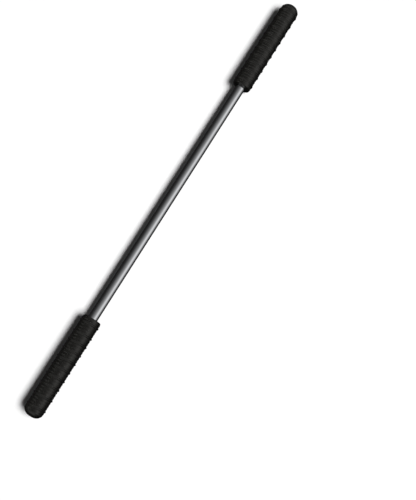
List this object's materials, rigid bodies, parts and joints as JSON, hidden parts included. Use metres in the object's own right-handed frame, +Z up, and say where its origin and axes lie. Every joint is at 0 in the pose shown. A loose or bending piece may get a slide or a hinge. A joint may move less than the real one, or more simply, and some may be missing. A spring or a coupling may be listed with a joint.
{
  "type": "devil stick",
  "caption": "Straight juggling stick: a polished metal tube with a ribbed, dome-ended rubber grip on each end.",
  "frame": {"origin": "the middle of the tube, on its axis, which is the stick's balance point", "axes": "+X along the tube towards the right grip, +Z up with the stick lying level"},
  "size_m": [0.6, 0.0252, 0.0252],
  "materials": {
    "tube_metal": "polished",
    "grip_rubber": "satin",
    "grip_tape": "matte",
    "plug_plastic": "matte",
    "weight_steel": "satin"
  },
  "bodies": {
    "root": {"shaft_tube": "tube_metal", "left_grip": "grip_rubber", "right_grip": "grip_rubber", "left_grip_tape": "grip_tape", "right_grip_tape": "grip_tape", "left_end_plug": "plug_plastic", "right_end_plug": "plug_plastic", "left_balance_weight": "weight_steel", "right_balance_weight": "weight_steel"}
  },
  "joints": []
}
